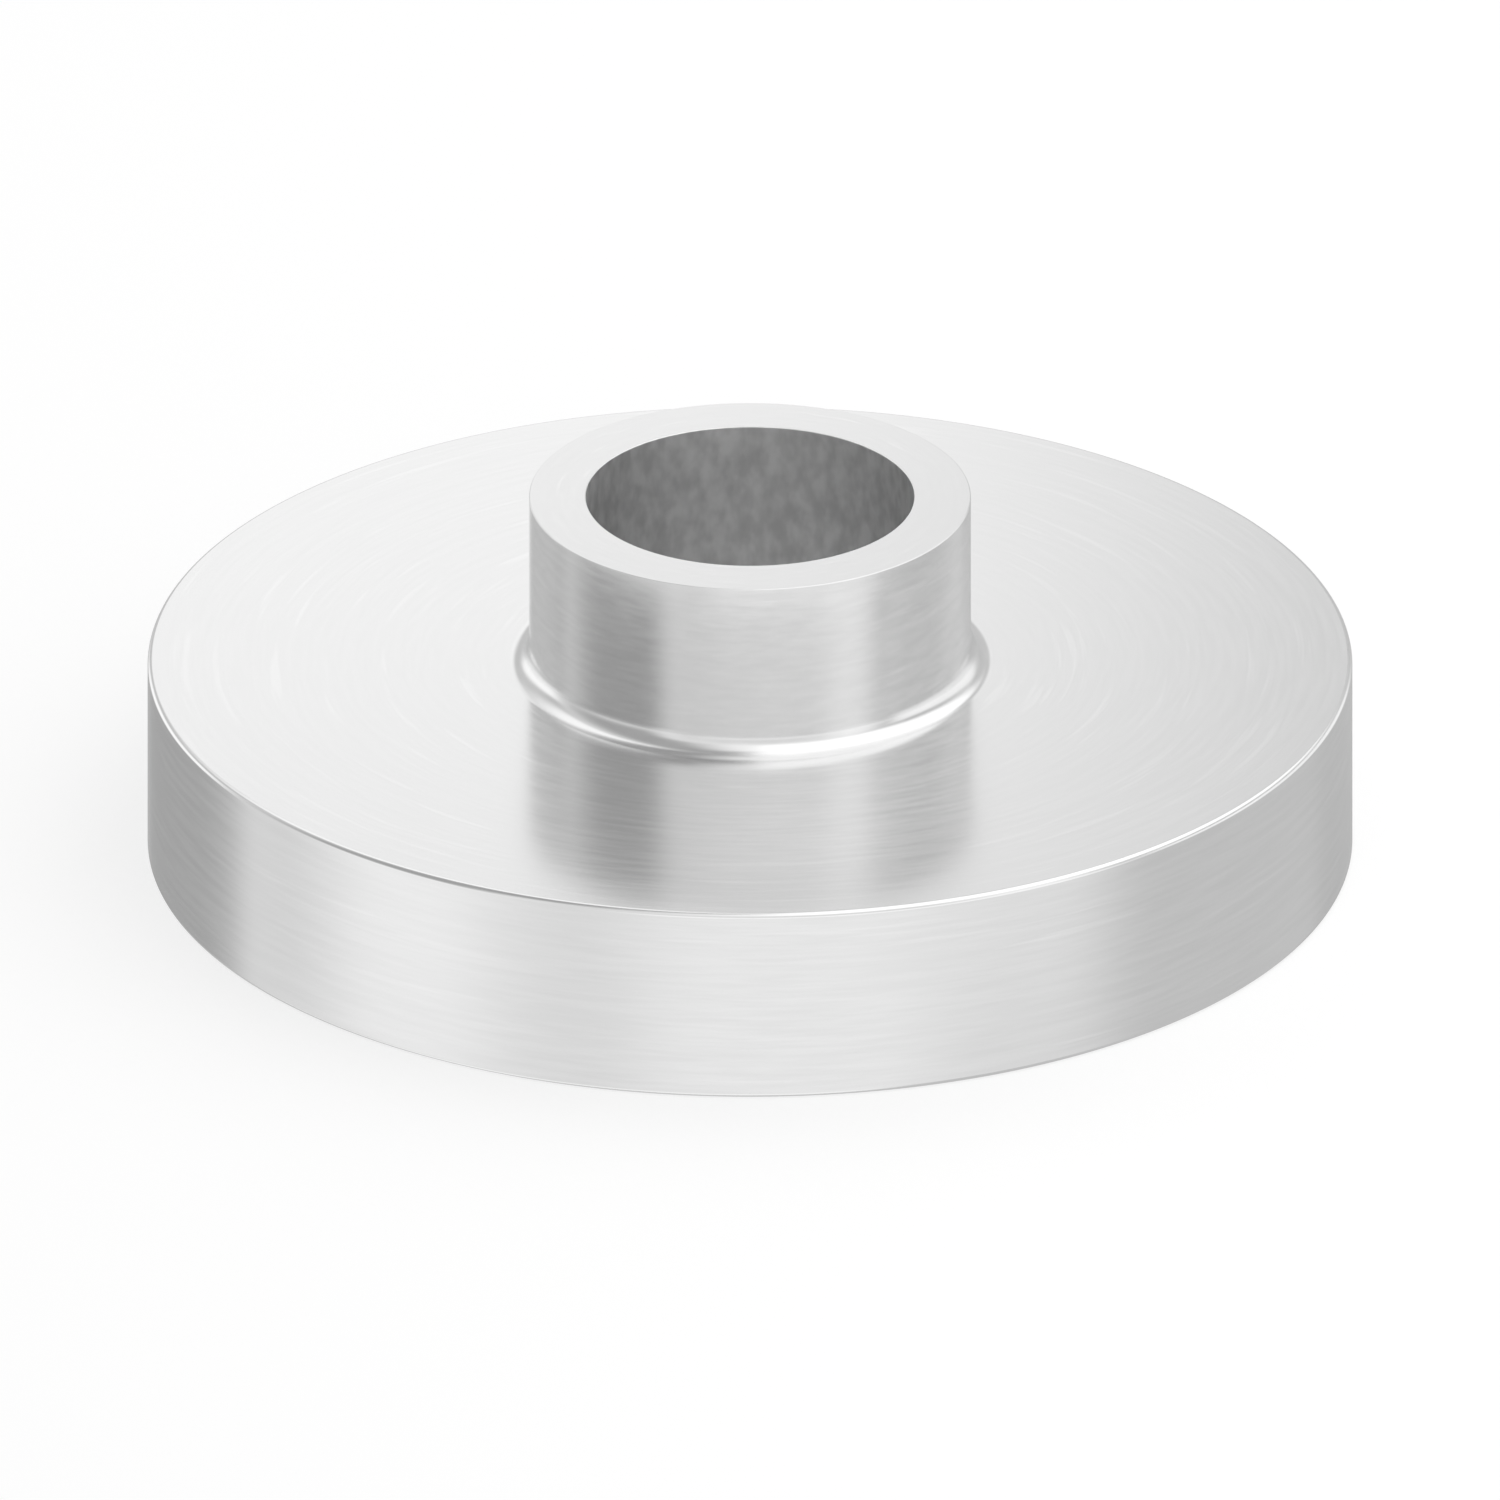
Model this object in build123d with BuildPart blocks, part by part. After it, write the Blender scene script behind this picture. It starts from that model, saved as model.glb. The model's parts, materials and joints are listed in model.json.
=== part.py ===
"""A flanged hub, turned from one piece of aluminium bar.

A thick round flange carries a short tubular hub on its top face, and one plain bore
runs right through both. The whole part is a single half section revolved about +Z.
Units are millimetres. The origin is on the axis, at the centre of the flange's underside.
"""

import os

from build123d import *

os.makedirs("parts", exist_ok=True)

# Driving dimensions
flange_diameter = 120.0
flange_thickness = 20.2
bore_diameter = 32.7
hub_wall = 5.65  # from the bore to the outside of the hub
hub_height = 18.0  # above the flange's top face
root_radius = 2.0  # concave radius left by the tool nose where the hub meets the flange
rim_radius = 0.5  # both rims of the flange are rounded over
edge_break = 0.1  # every other sharp edge is only deburred

# What follows from them
flange_radius = flange_diameter / 2
bore_radius = bore_diameter / 2
hub_radius = bore_radius + hub_wall
overall_height = flange_thickness + hub_height

# Flanged hub: the half section is drawn with sharp corners, and each corner then gets its
# radius or its break before the section is revolved.
with BuildPart() as flanged_hub:
    with BuildSketch(Plane.XZ) as half_section:
        with BuildLine():
            Polyline(
                (bore_radius, 0),
                (flange_radius, 0),
                (flange_radius, flange_thickness),
                (hub_radius, flange_thickness),
                (hub_radius, overall_height),
                (bore_radius, overall_height),
                close=True,
            )
        make_face()

        root_corner = half_section.vertices().sort_by_distance((hub_radius, flange_thickness))[0]
        fillet(root_corner, radius=root_radius)

        rim_corners = half_section.vertices().group_by(Axis.X)[-1]
        fillet(rim_corners, radius=rim_radius)

        hub_face_corners = half_section.vertices().group_by(Axis.Y)[-1]
        chamfer(hub_face_corners, length=edge_break)

        bore_foot_corner = half_section.vertices().sort_by_distance((bore_radius, 0))[0]
        chamfer(bore_foot_corner, length=edge_break)
    revolve(axis=Axis.Z)

flanged_hub.part.label = "flanged_hub"
export_step(flanged_hub.part, "parts/flanged_hub.step")
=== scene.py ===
"""A flanged hub turned from one piece of aluminium, standing in a small light tent."""

import json
import math

import bmesh
import bpy
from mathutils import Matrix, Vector


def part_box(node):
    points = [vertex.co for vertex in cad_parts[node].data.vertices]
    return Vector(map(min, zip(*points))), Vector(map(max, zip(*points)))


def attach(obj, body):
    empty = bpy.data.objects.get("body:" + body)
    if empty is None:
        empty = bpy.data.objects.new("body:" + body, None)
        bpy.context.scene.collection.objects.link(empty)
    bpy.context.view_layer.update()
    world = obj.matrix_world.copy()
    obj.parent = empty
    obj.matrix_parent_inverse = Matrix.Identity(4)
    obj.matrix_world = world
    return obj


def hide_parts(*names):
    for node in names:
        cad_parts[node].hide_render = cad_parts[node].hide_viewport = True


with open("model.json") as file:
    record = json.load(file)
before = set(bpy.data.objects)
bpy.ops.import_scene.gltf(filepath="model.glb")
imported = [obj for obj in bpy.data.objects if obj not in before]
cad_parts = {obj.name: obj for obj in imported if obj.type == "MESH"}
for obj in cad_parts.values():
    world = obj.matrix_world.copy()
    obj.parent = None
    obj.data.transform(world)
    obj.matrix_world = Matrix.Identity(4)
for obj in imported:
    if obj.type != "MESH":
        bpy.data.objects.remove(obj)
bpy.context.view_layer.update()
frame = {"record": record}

# ---------------------------------------------------------------------------------------
# Flanged hub. One piece of aluminium bar, turned all over in a lathe: a thick round flange,
# a short tubular hub and a bore through both. The tool's nose leaves a radius at the hub's
# foot, the flange's rims are rounded over and the other edges are only deburred.

hub_node = "flanged_hub"
millimetres_per_metre = 1000
mounts = {mount["name"]: mount for mount in frame["record"]["mounts"]}
hub_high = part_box(hub_node)[1]

overall_height = hub_high.z
flange_radius = hub_high.x
flange_thickness = mounts["flange_face"]["pos_m"][2]
hub_radius = mounts["hub_spigot"]["dims"]["r_mm"] / millimetres_per_metre
bore_radius = mounts["bore"]["dims"]["r_mm"] / millimetres_per_metre
bore_wall = mounts["bore"]["dims"]["length_mm"] / millimetres_per_metre
edge_break = (overall_height - bore_wall) / 2
straight_hub_wall = mounts["hub_spigot"]["dims"]["length_mm"] / millimetres_per_metre
root_radius = overall_height - edge_break - straight_hub_wall - flange_thickness
rim_radius = 0.0005

turning_steps = 360
corner_steps = 14
half_turn = math.pi
flat_face_weight = 100  # the most that the modifier takes


def add_node(tree, kind, inputs=None, **settings):
    """Adds a node to a tree. Its settings come first, as some of them bring sockets."""
    node = tree.nodes.new(kind)
    for name, value in settings.items():
        setattr(node, name, value)
    for name, value in (inputs or {}).items():
        if isinstance(value, bpy.types.NodeSocket):
            tree.links.new(value, node.inputs[name])
        else:
            node.inputs[name].default_value = value
    return node


# The half section has one point for each sharp corner, from the bore's mouth out across the
# hub's face, down to the flange and round its rim to the bore's foot. Every corner is then
# rounded, and the section is swept round the circle of the bore.
section_tree = bpy.data.node_groups.new("Turned section", "GeometryNodeTree")
section_tree.is_modifier = True
section_tree.interface.new_socket("Geometry", in_out="OUTPUT", socket_type="NodeSocketGeometry")
section_sockets = {}
for socket_name, socket_type, value in (
    ("Flange Radius", "NodeSocketFloat", flange_radius),
    ("Flange Thickness", "NodeSocketFloat", flange_thickness),
    ("Hub Radius", "NodeSocketFloat", hub_radius),
    ("Overall Height", "NodeSocketFloat", overall_height),
    ("Bore Radius", "NodeSocketFloat", bore_radius),
    ("Root Radius", "NodeSocketFloat", root_radius),
    ("Rim Radius", "NodeSocketFloat", rim_radius),
    ("Edge Break", "NodeSocketFloat", edge_break),
    ("Corner Steps", "NodeSocketInt", corner_steps),
    ("Turning Steps", "NodeSocketInt", turning_steps),
    ("Finish", "NodeSocketMaterial", None),
):
    socket = section_tree.interface.new_socket(
        socket_name, in_out="INPUT", socket_type=socket_type
    )
    section_sockets[socket_name] = (socket.identifier, value)

sizes = section_tree.nodes.new("NodeGroupInput").outputs
to_rim = add_node(
    section_tree,
    "ShaderNodeMath",
    {0: sizes["Flange Radius"], 1: sizes["Bore Radius"]},
    operation="SUBTRACT",
)
to_hub_wall = add_node(
    section_tree,
    "ShaderNodeMath",
    {0: sizes["Hub Radius"], 1: sizes["Bore Radius"]},
    operation="SUBTRACT",
)
corners = (
    # distance from the bore's wall, height above the underside, corner radius
    (0.0, sizes["Overall Height"], "Edge Break"),
    (to_hub_wall.outputs[0], sizes["Overall Height"], "Edge Break"),
    (to_hub_wall.outputs[0], sizes["Flange Thickness"], "Root Radius"),
    (to_rim.outputs[0], sizes["Flange Thickness"], "Rim Radius"),
    (to_rim.outputs[0], 0.0, "Rim Radius"),
    (0.0, 0.0, "Edge Break"),
)
corner_number = section_tree.nodes.new("GeometryNodeInputIndex").outputs["Index"]
corner_place = add_node(section_tree, "GeometryNodeIndexSwitch", data_type="VECTOR")
corner_radius = add_node(section_tree, "GeometryNodeIndexSwitch", data_type="FLOAT")
for switch in (corner_place, corner_radius):
    while len(switch.index_switch_items) < len(corners):
        switch.index_switch_items.new()
    section_tree.links.new(corner_number, switch.inputs["Index"])
for number, (outward, height, radius_name) in enumerate(corners, start=1):
    place = add_node(section_tree, "ShaderNodeCombineXYZ", {"X": outward, "Y": height})
    section_tree.links.new(place.outputs[0], corner_place.inputs[number])
    section_tree.links.new(sizes[radius_name], corner_radius.inputs[number])

points = add_node(
    section_tree,
    "GeometryNodePoints",
    {"Count": len(corners), "Position": corner_place.outputs[0]},
)
outline = add_node(section_tree, "GeometryNodePointsToCurves", {"Points": points.outputs[0]})
closed = add_node(
    section_tree,
    "GeometryNodeSetSplineCyclic",
    {"Geometry": outline.outputs[0], "Cyclic": True},
)
rounded = add_node(
    section_tree,
    "GeometryNodeFilletCurve",
    {
        "Curve": closed.outputs[0],
        "Count": sizes["Corner Steps"],
        "Radius": corner_radius.outputs[0],
    },
    mode="POLY",
)
# The sweep lays the section's second axis along -Z, so the section is turned over first.
upright = add_node(
    section_tree,
    "GeometryNodeTransform",
    {"Geometry": rounded.outputs[0], "Rotation": (half_turn, 0, 0)},
)
bore_circle = add_node(
    section_tree,
    "GeometryNodeCurvePrimitiveCircle",
    {"Resolution": sizes["Turning Steps"], "Radius": sizes["Bore Radius"]},
)
turned = add_node(
    section_tree,
    "GeometryNodeCurveToMesh",
    {"Curve": bore_circle.outputs[0], "Profile Curve": upright.outputs[0]},
)
smooth = add_node(
    section_tree,
    "GeometryNodeSetShadeSmooth",
    {"Geometry": turned.outputs[0], "Shade Smooth": True},
)
realized = add_node(
    section_tree, "GeometryNodeRealizeInstances", {"Geometry": smooth.outputs[0]}
)
finished = add_node(
    section_tree,
    "GeometryNodeSetMaterial",
    {"Geometry": realized.outputs[0], "Material": sizes["Finish"]},
)
add_node(section_tree, "NodeGroupOutput", {"Geometry": finished.outputs[0]})

# The tool's marks run round the axis, long round the part and narrow across the cut. The
# pattern reads the heading from the axis, the distance from it and the height, so it follows
# the faces and the walls alike and closes on itself without a seam.
lay_detail = 2  # finer marks laid over the first ones

lay_group = bpy.data.node_groups.new("Turning lay", "ShaderNodeTree")
for socket_name, in_out, socket_type in (
    ("Place", "INPUT", "NodeSocketVector"),
    ("Marks Round", "INPUT", "NodeSocketFloat"),
    ("Marks Across", "INPUT", "NodeSocketFloat"),
    ("Lay", "OUTPUT", "NodeSocketFloat"),
):
    lay_group.interface.new_socket(socket_name, in_out=in_out, socket_type=socket_type)
lay_inputs = lay_group.nodes.new("NodeGroupInput").outputs
lay_axes = add_node(lay_group, "ShaderNodeSeparateXYZ", {0: lay_inputs["Place"]}).outputs
from_axis = add_node(
    lay_group, "ShaderNodeCombineXYZ", {"X": lay_axes["X"], "Y": lay_axes["Y"]}
)
distance = add_node(
    lay_group, "ShaderNodeVectorMath", {0: from_axis.outputs[0]}, operation="LENGTH"
)
heading = add_node(
    lay_group, "ShaderNodeVectorMath", {0: from_axis.outputs[0]}, operation="NORMALIZE"
)
heading_stretched = add_node(
    lay_group,
    "ShaderNodeVectorMath",
    {0: heading.outputs[0], "Scale": lay_inputs["Marks Round"]},
    operation="SCALE",
)
distance_marks = add_node(
    lay_group,
    "ShaderNodeMath",
    {0: distance.outputs["Value"], 1: lay_inputs["Marks Across"]},
    operation="MULTIPLY",
)
height_marks = add_node(
    lay_group,
    "ShaderNodeMath",
    {0: lay_axes["Z"], 1: lay_inputs["Marks Across"]},
    operation="MULTIPLY",
)
distance_axis = add_node(lay_group, "ShaderNodeCombineXYZ", {"Z": distance_marks.outputs[0]})
lay_place = add_node(
    lay_group,
    "ShaderNodeVectorMath",
    {0: heading_stretched.outputs[0], 1: distance_axis.outputs[0]},
    operation="ADD",
)
lay_noise = add_node(
    lay_group,
    "ShaderNodeTexNoise",
    {
        "Vector": lay_place.outputs[0],
        "W": height_marks.outputs[0],
        "Scale": 1,
        "Detail": lay_detail,
    },
    noise_dimensions="4D",
)
add_node(lay_group, "NodeGroupOutput", {"Lay": lay_noise.outputs[0]})

# Bright turned aluminium. Fine feed marks cover it all, with a few longer arcs where the
# tool rubbed. The bore is drilled and reamed, so it is duller and its marks are blotchy.
metal_grey = 0.84
feed_marks_round = 6
feed_marks_across = 1400
arcs_round = 2.5
arcs_across = 900
bore_marks_round = 12
bore_marks_across = 420
feed_tone = 0.035
arc_tone = 0.03
bore_tone = 0.24
turned_roughness = 0.2
feed_roughness = 0.04
bore_roughness = 0.4
mark_depth = 0.0000018
marks_low = 0.25  # the noise seldom goes below this, nor above the next
marks_high = 0.75
arcs_start = 0.58  # only the arcs noise's peaks make an arc
arcs_full = 0.72

turned_aluminium = bpy.data.materials.new("turned_aluminium")
turned_aluminium.use_nodes = True
metal = turned_aluminium.node_tree
metal_place = metal.nodes.new("ShaderNodeTexCoord").outputs["Object"]


def lay(marks_round, marks_across):
    """Lays one set of tool marks on the metal and returns how high each place stands, 0 to 1."""
    marks = add_node(
        metal,
        "ShaderNodeGroup",
        {"Place": metal_place, "Marks Round": marks_round, "Marks Across": marks_across},
        node_tree=lay_group,
    )
    return marks.outputs["Lay"]


def spread(marks, low, high, to_low, to_high):
    """Carries the marks' height from one range to another, smoothly at both ends."""
    spread_node = add_node(
        metal,
        "ShaderNodeMapRange",
        {
            "Value": marks,
            "From Min": low,
            "From Max": high,
            "To Min": to_low,
            "To Max": to_high,
        },
        interpolation_type="SMOOTHSTEP",
    )
    return spread_node.outputs["Result"]


def around(marks, middle, range_across):
    """Moves a value up and down round its middle with the marks."""
    half_range = range_across / 2
    return spread(marks, marks_low, marks_high, middle - half_range, middle + half_range)


def metal_sum(operation, first, second):
    """Adds one sum to the metal's nodes and returns its result."""
    sum_node = add_node(metal, "ShaderNodeMath", {0: first, 1: second}, operation=operation)
    return sum_node.outputs[0]


feed_marks = lay(feed_marks_round, feed_marks_across)
arcs = spread(lay(arcs_round, arcs_across), arcs_start, arcs_full, 0, 1)
blotches = lay(bore_marks_round, bore_marks_across)

metal_axes = add_node(metal, "ShaderNodeSeparateXYZ", {0: metal_place}).outputs
off_axis = add_node(
    metal, "ShaderNodeCombineXYZ", {"X": metal_axes["X"], "Y": metal_axes["Y"]}
)
off_axis_distance = add_node(
    metal, "ShaderNodeVectorMath", {0: off_axis.outputs[0]}, operation="LENGTH"
)
bore_edge = bore_radius + edge_break / 2
in_bore = metal_sum("LESS_THAN", off_axis_distance.outputs["Value"], bore_edge)

arc_shade = metal_sum("MULTIPLY", arcs, arc_tone)
outer_shade = metal_sum("ADD", around(feed_marks, metal_grey, feed_tone), arc_shade)
bore_shade = around(blotches, metal_grey, bore_tone)
shade = add_node(metal, "ShaderNodeMix", {0: in_bore, 2: outer_shade, 3: bore_shade})
outer_roughness = around(feed_marks, turned_roughness, feed_roughness)
rough = add_node(metal, "ShaderNodeMix", {0: in_bore, 2: outer_roughness, 3: bore_roughness})
relief = add_node(
    metal,
    "ShaderNodeBump",
    {"Height": metal_sum("ADD", feed_marks, arcs), "Distance": mark_depth, "Strength": 1},
)
shader = metal.nodes["Principled BSDF"]
metal.links.new(shade.outputs[0], shader.inputs["Base Color"])
metal.links.new(rough.outputs[0], shader.inputs["Roughness"])
metal.links.new(relief.outputs["Normal"], shader.inputs["Normal"])
shader.inputs["Metallic"].default_value = 1.0

hub_blank = bpy.data.objects.new("hub_blank", bpy.data.meshes.new("hub_blank"))
bpy.context.scene.collection.objects.link(hub_blank)
lathe = hub_blank.modifiers.new("Turned section", "NODES")
lathe.node_group = section_tree
for socket_name, (identifier, value) in section_sockets.items():
    lathe[identifier] = turned_aluminium if socket_name == "Finish" else value
# The broad flat faces rule the shading where they run into a rounded corner.
flat_faces_rule = hub_blank.modifiers.new("Flat faces rule", "WEIGHTED_NORMAL")
flat_faces_rule.weight = flat_face_weight
turned_mesh = bpy.data.meshes.new_from_object(
    hub_blank.evaluated_get(bpy.context.evaluated_depsgraph_get())
)
bpy.data.objects.remove(hub_blank)
turned_hub = bpy.data.objects.new("turned_flanged_hub", turned_mesh)
bpy.context.scene.collection.objects.link(turned_hub)

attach(turned_hub, "root")
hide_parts(hub_node)

# ---------------------------------------------------------------------------------------
# Floor. A plain white sheet under the part. It is seen from above only, so the part's
# underside can be looked at from below. The metal doesn't mirror it, apart from the small
# round patch under the bore, which closes the hole's far end as a table would.

floor_drop = 0.00005
floor_half = 0.42
floor_glow = 0.62
floor_white = 0.42
bore_patch_white = 0.9
bore_patch_steps = 64

floor_mesh = bpy.data.meshes.new("floor")
floor_mesh.from_pydata(
    [
        (-floor_half, -floor_half, -floor_drop),
        (floor_half, -floor_half, -floor_drop),
        (floor_half, floor_half, -floor_drop),
        (-floor_half, floor_half, -floor_drop),
    ],
    [],
    [(0, 1, 2, 3)],
)
patch_mesh = bpy.data.meshes.new("bore_patch")
patch_turns = [2 * math.pi * step / bore_patch_steps for step in range(bore_patch_steps)]
patch_mesh.from_pydata(
    [
        (bore_radius * math.cos(turn), bore_radius * math.sin(turn), -floor_drop / 2)
        for turn in patch_turns
    ],
    [],
    [tuple(range(bore_patch_steps))],
)


def floor_paper(name, white, glow):
    """Makes a sheet's material: plain paper from above, clear from below, lit for the camera."""
    paper = bpy.data.materials.new(name)
    paper.use_nodes = True
    tree = paper.node_tree
    tree.nodes.clear()
    matt = add_node(tree, "ShaderNodeBsdfDiffuse", {"Color": (white, white, white, 1)})
    light_path = tree.nodes.new("ShaderNodeLightPath")
    glow_strength = add_node(
        tree,
        "ShaderNodeMath",
        {0: light_path.outputs["Is Camera Ray"], 1: glow},
        operation="MULTIPLY",
    )
    glow_light = add_node(tree, "ShaderNodeEmission", {"Strength": glow_strength.outputs[0]})
    lit = add_node(tree, "ShaderNodeAddShader", {0: matt.outputs[0], 1: glow_light.outputs[0]})
    side = tree.nodes.new("ShaderNodeNewGeometry")
    clear = tree.nodes.new("ShaderNodeBsdfTransparent")
    one_sided = add_node(
        tree,
        "ShaderNodeMixShader",
        {0: side.outputs["Backfacing"], 1: lit.outputs[0], 2: clear.outputs[0]},
    )
    add_node(tree, "ShaderNodeOutputMaterial", {"Surface": one_sided.outputs[0]})
    return paper


floor_mesh.materials.append(floor_paper("floor_sheet", floor_white, floor_glow))
floor = bpy.data.objects.new("floor", floor_mesh)
bpy.context.scene.collection.objects.link(floor)
floor.visible_glossy = False

patch_mesh.materials.append(floor_paper("bore_patch_sheet", bore_patch_white, 0))
bore_patch = bpy.data.objects.new("bore_patch", patch_mesh)
bpy.context.scene.collection.objects.link(bore_patch)

# ---------------------------------------------------------------------------------------
# Light tent. A ball of white cloth round the part, with softboxes behind the cloth where
# light comes in and grey card on it where the metal needs something darker to mirror.

tent_radius = 0.6
tent_middle = 0.02
tent_gores = 96
tent_rings = 48
half_circle = 180.0  # degrees
cloth_level = 0.6
soft_panels = {
    # azimuth from the front toward +X, elevation, half width, half height, soft edge, level
    "front cloth": (-40, 0, 70, 70, 5, 1.05),
    "grey card, low at the back": (-140, -25, 25, 5, 10, 0.35),
    "grey card, left of the roof": (-65, 40, 40, 75, 25, 0.40),
    "softbox, right of the roof": (85, 75, 80, 45, 5, 1.30),
    "softbox, front": (10, 5, 55, 25, 10, 1.05),
    "grey card, right": (100, 15, 20, 10, 15, 0.30),
    "softbox, narrow at the back": (-175, 20, 10, 10, 5, 1.10),
    "strip light, low on the left": (-65, -15, 25, 15, 20, 1.15),
    "grey card, front": (0, 0, 40, 30, 10, 0.80),
    "strip light, low on the right": (25, -10, 45, 10, 10, 1.15),
    "softbox, high at the back left": (-145, 65, 30, 30, 10, 1.15),
    "strip light, right": (110, 5, 35, 15, 5, 1.05),
    "strip light, back left": (-130, 0, 20, 15, 5, 1.15),
    "grey card, low at the far right": (155, -30, 20, 5, 5, 0.45),
}

tent_mesh = bpy.data.meshes.new("light_tent")
tent_shape = bmesh.new()
bmesh.ops.create_uvsphere(
    tent_shape, u_segments=tent_gores, v_segments=tent_rings, radius=tent_radius
)
tent_shape.to_mesh(tent_mesh)
tent_shape.free()

panel_group = bpy.data.node_groups.new("Soft panel", "ShaderNodeTree")
panel_sockets = (
    "Panel Azimuth",
    "Panel Elevation",
    "Half Width",
    "Half Height",
    "Soft Edge",
    "Panel Level",
)
for socket_name in ("Level Before", "Azimuth", "Elevation", *panel_sockets):
    panel_group.interface.new_socket(
        socket_name, in_out="INPUT", socket_type="NodeSocketFloat"
    )
panel_group.interface.new_socket("Level", in_out="OUTPUT", socket_type="NodeSocketFloat")
panel_inputs = panel_group.nodes.new("NodeGroupInput").outputs


def tent_sum(tree, operation, *values):
    """Adds one sum to a tree of the tent's and returns its result."""
    sum_node = add_node(tree, "ShaderNodeMath", dict(enumerate(values)), operation=operation)
    return sum_node.outputs[0]


def panel_cover(angle_off, half_size):
    """Goes smoothly from 1 inside the panel's edge to 0 outside it."""
    cover = add_node(
        panel_group,
        "ShaderNodeMapRange",
        {
            "Value": tent_sum(panel_group, "ABSOLUTE", angle_off),
            "From Min": tent_sum(panel_group, "SUBTRACT", half_size, panel_inputs["Soft Edge"]),
            "From Max": tent_sum(panel_group, "ADD", half_size, panel_inputs["Soft Edge"]),
            "To Min": 1,
            "To Max": 0,
        },
        interpolation_type="SMOOTHSTEP",
    )
    return cover.outputs["Result"]


round_off = tent_sum(
    panel_group, "SUBTRACT", panel_inputs["Azimuth"], panel_inputs["Panel Azimuth"]
)
round_off = tent_sum(panel_group, "WRAP", round_off, half_circle, -half_circle)
height_off = tent_sum(
    panel_group, "SUBTRACT", panel_inputs["Elevation"], panel_inputs["Panel Elevation"]
)
panel_mask = tent_sum(
    panel_group,
    "MULTIPLY",
    panel_cover(round_off, panel_inputs["Half Width"]),
    panel_cover(height_off, panel_inputs["Half Height"]),
)
level_change = tent_sum(
    panel_group, "SUBTRACT", panel_inputs["Panel Level"], panel_inputs["Level Before"]
)
new_level = tent_sum(
    panel_group, "MULTIPLY_ADD", level_change, panel_mask, panel_inputs["Level Before"]
)
add_node(panel_group, "NodeGroupOutput", {"Level": new_level})

tent_cloth = bpy.data.materials.new("tent_cloth")
tent_cloth.use_nodes = True
tent_cloth.cycles.emission_sampling = "NONE"
cloth = tent_cloth.node_tree
cloth.nodes.clear()
cloth_place = cloth.nodes.new("ShaderNodeTexCoord")
cloth_direction = add_node(
    cloth, "ShaderNodeVectorMath", {0: cloth_place.outputs["Object"]}, operation="NORMALIZE"
)
cloth_axes = add_node(cloth, "ShaderNodeSeparateXYZ", {0: cloth_direction.outputs[0]}).outputs
toward_front = tent_sum(cloth, "MULTIPLY", cloth_axes["Y"], -1)
cloth_turn = tent_sum(cloth, "ARCTAN2", cloth_axes["X"], toward_front)
cloth_azimuth = tent_sum(cloth, "DEGREES", cloth_turn)
cloth_elevation = tent_sum(cloth, "DEGREES", tent_sum(cloth, "ARCSINE", cloth_axes["Z"]))

level_so_far = cloth_level
for panel_name, panel_sizes in soft_panels.items():
    panel_values = dict(zip(panel_sockets, panel_sizes))
    panel_values["Level Before"] = level_so_far
    panel_values["Azimuth"] = cloth_azimuth
    panel_values["Elevation"] = cloth_elevation
    panel = add_node(
        cloth, "ShaderNodeGroup", panel_values, node_tree=panel_group, label=panel_name
    )
    level_so_far = panel.outputs["Level"]
cloth_light = add_node(cloth, "ShaderNodeEmission", {"Color": level_so_far})
add_node(cloth, "ShaderNodeOutputMaterial", {"Surface": cloth_light.outputs[0]})
tent_mesh.materials.append(tent_cloth)

light_tent = bpy.data.objects.new("light_tent", tent_mesh)
bpy.context.scene.collection.objects.link(light_tent)
light_tent.location.z = tent_middle
light_tent.visible_camera = False

room = bpy.data.worlds.new("white_room")
bpy.context.scene.world = room
room.use_nodes = True
room_light = room.node_tree.nodes["Background"].inputs
room_light["Color"].default_value = (1, 1, 1, 1)
room_light["Strength"].default_value = 1.0

# ---------------------------------------------------------------------------------------
# Camera. A long lens far off, so the view is a parallel one.

view_elevation = math.radians(25.0)
view_width = 0.1494
aim_height = 0.0103
camera_distance = 1.0
camera_data = bpy.data.cameras.new("camera")
camera_data.type = "ORTHO"
camera_data.ortho_scale = view_width
camera = bpy.data.objects.new("camera", camera_data)
bpy.context.scene.collection.objects.link(camera)
toward_camera = Vector((0, -math.cos(view_elevation), math.sin(view_elevation)))
camera.location = Vector((0, 0, aim_height)) + toward_camera * camera_distance
camera.rotation_euler = (half_turn / 2 - view_elevation, 0, 0)
bpy.context.scene.camera = camera

bpy.context.scene.view_settings.view_transform = "Standard"
